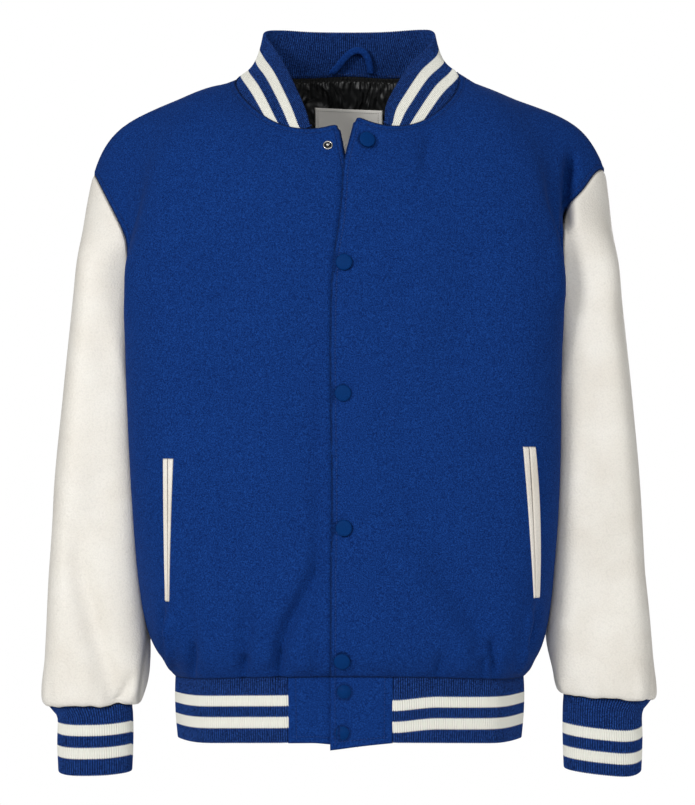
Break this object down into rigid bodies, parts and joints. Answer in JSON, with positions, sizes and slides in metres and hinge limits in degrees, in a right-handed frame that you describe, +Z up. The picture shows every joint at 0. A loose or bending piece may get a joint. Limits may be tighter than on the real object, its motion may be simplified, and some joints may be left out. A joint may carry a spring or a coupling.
{
  "type": "varsity jacket",
  "caption": "Varsity jacket with a wool body, leather sleeves, striped rib collar, cuffs and hem, snap front and welt pockets, filled out as worn.",
  "frame": {"origin": "on the mid-plane, level with the neck ends of the shoulder seams, where the garment hangs from the wearer's shoulders", "axes": "+Z up along the garment, the front faces -Y, +X is the wearer's left"},
  "size_m": [0.642, 0.2705, 0.7879],
  "materials": {
    "wool": "blue melton wool, dense short nap, matt",
    "leather": "cream smooth-grain leather, soft satin",
    "rib": "blue rib knit with cream stripes, matt",
    "cap": "blue enamelled snap cap, satin",
    "steel": "nickel-plated snap stud",
    "satin": "black lining satin, glossy",
    "label": "grey woven label, bare"
  },
  "bodies": {
    "root": {"front_right": "wool", "front_left": "wool", "back": "wool", "sleeve_right": "leather", "sleeve_left": "leather", "collar_rib": "rib", "cuff_right": "rib", "cuff_left": "rib", "hem_rib": "rib", "hem_tab_right": "wool", "hem_tab_left": "wool", "welt_right_front": "leather", "welt_right_side": "leather", "welt_left_front": "leather", "welt_left_side": "leather", "snap_cap_1": "cap", "snap_cap_2": "cap", "snap_cap_3": "cap", "snap_cap_4": "cap", "snap_cap_5": "cap", "snap_cap_6": "cap", "snap_cap_7": "cap", "snap_stud": "steel", "lining_back": "satin", "neck_label": "label", "hanger_loop": "wool"}
  },
  "joints": []
}
